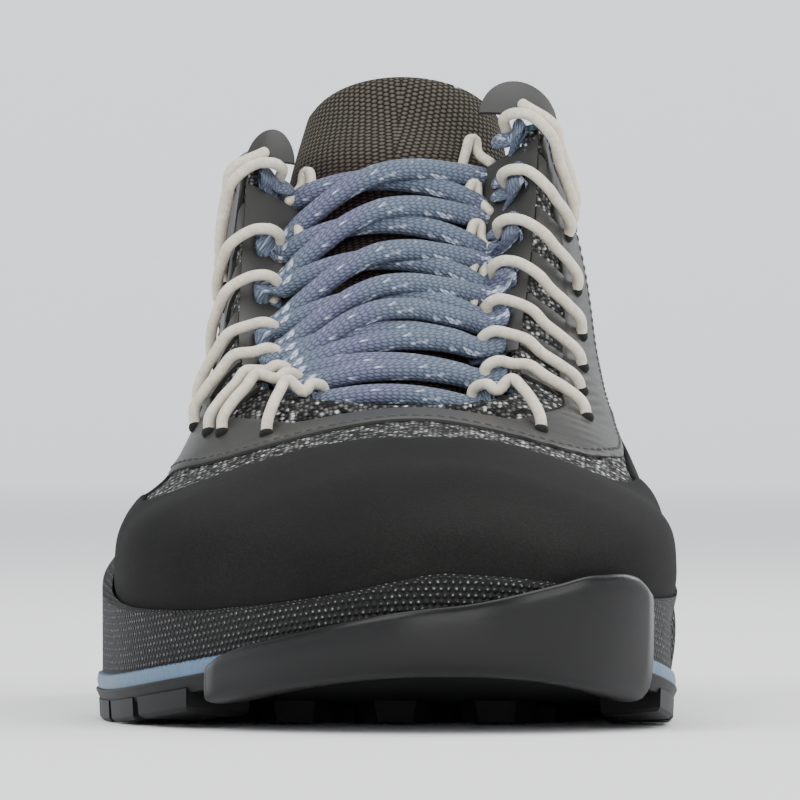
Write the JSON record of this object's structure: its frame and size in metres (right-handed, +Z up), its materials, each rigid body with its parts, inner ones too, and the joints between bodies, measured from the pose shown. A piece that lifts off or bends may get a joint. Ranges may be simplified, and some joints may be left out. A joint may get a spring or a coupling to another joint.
{
  "type": "approach shoe",
  "caption": "Low approach shoe for the right foot, with knit upper, smooth toe rand, cord eyelets, laces, padded collar, heel pull loop and lugged layered sole.",
  "frame": {"origin": "on the floor, under the middle of the shoe's box", "axes": "+Z up from the floor, -Y towards the toe, +X towards the inner (medial) side of this right shoe"},
  "size_m": [0.1, 0.272, 0.1125],
  "materials": {
    "outsole_rubber": "matt black rubber with fine ribs",
    "stripe_foam": "matt blue foam",
    "midsole_heel_foam": "matt grey foam with fine grain",
    "midsole_front_foam": "matt black foam, textured",
    "upper_knit": "grey and white flecked knit",
    "rand_nubuck": "black nubuck",
    "wrap_film": "satin black film",
    "lining_knit": "blue honeycomb knit",
    "insole_cloth": "dark brushed cloth",
    "tongue_mesh": "brown-grey mesh",
    "lace_braid": "slate blue braid with pale flecks",
    "eye_cord": "cream cord",
    "sleeve_gloss": "gloss black sleeve",
    "bead_plastic": "cream moulded bead"
  },
  "bodies": {
    "root": {"outsole": "outsole_rubber", "sole_stripe": "stripe_foam", "midsole_heel": "midsole_heel_foam", "midsole_front": "midsole_front_foam", "upper": "upper_knit", "toe_rand": "rand_nubuck", "heel_wrap": "wrap_film", "collar_lining": "lining_knit", "insole": "insole_cloth", "tongue": "tongue_mesh", "laces": "lace_braid", "lace_bar": "lace_braid", "lace_cord_l1": "eye_cord", "lace_cord_l2": "eye_cord", "lace_cord_l3": "eye_cord", "lace_cord_l4": "eye_cord", "lace_cord_l5": "eye_cord", "lace_cord_l6": "eye_cord", "lace_cord_l7": "eye_cord", "lace_cord_l8": "eye_cord", "lace_cord_m1": "eye_cord", "lace_cord_m2": "eye_cord", "lace_cord_m3": "eye_cord", "lace_cord_m4": "eye_cord", "lace_cord_m5": "eye_cord", "lace_cord_m6": "eye_cord", "lace_cord_m7": "eye_cord", "lace_cord_m8": "eye_cord", "pull_loop_sleeve": "sleeve_gloss", "pull_loop_bead_lateral": "bead_plastic", "pull_loop_bead_medial": "bead_plastic", "pull_loop_cord_lateral": "eye_cord", "pull_loop_cord_medial": "eye_cord"}
  },
  "joints": []
}
